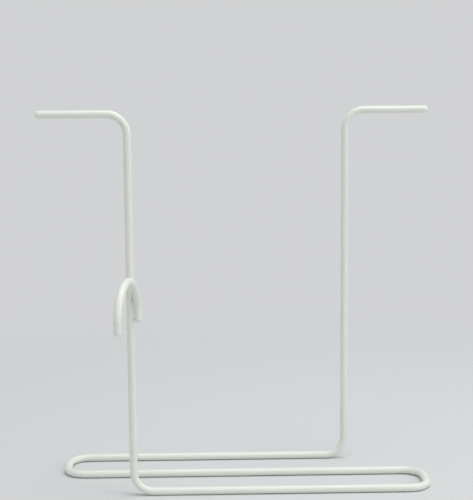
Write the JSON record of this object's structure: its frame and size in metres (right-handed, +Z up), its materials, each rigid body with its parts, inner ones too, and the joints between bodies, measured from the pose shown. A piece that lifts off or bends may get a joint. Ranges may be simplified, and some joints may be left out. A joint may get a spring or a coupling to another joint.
{
  "type": "urine bag holder",
  "caption": "Free-standing holder for a urine bag, bent from one white-coated wire, with two hanging arms, an S-shaped base and a welded hook for a bed rail.",
  "frame": {"origin": "on the floor, in the middle of the whole holder's length and depth", "axes": "+Z up; +X along the wires of the base, from the upright with the rail hook to the plain one; +Y away from the side that the hook stands out to"},
  "size_m": [0.197, 0.095, 0.19],
  "materials": {
    "coated_wire": "gloss dip coat"
  },
  "bodies": {
    "root": {"stand_wire": "coated_wire", "rail_hook": "coated_wire"}
  },
  "joints": []
}
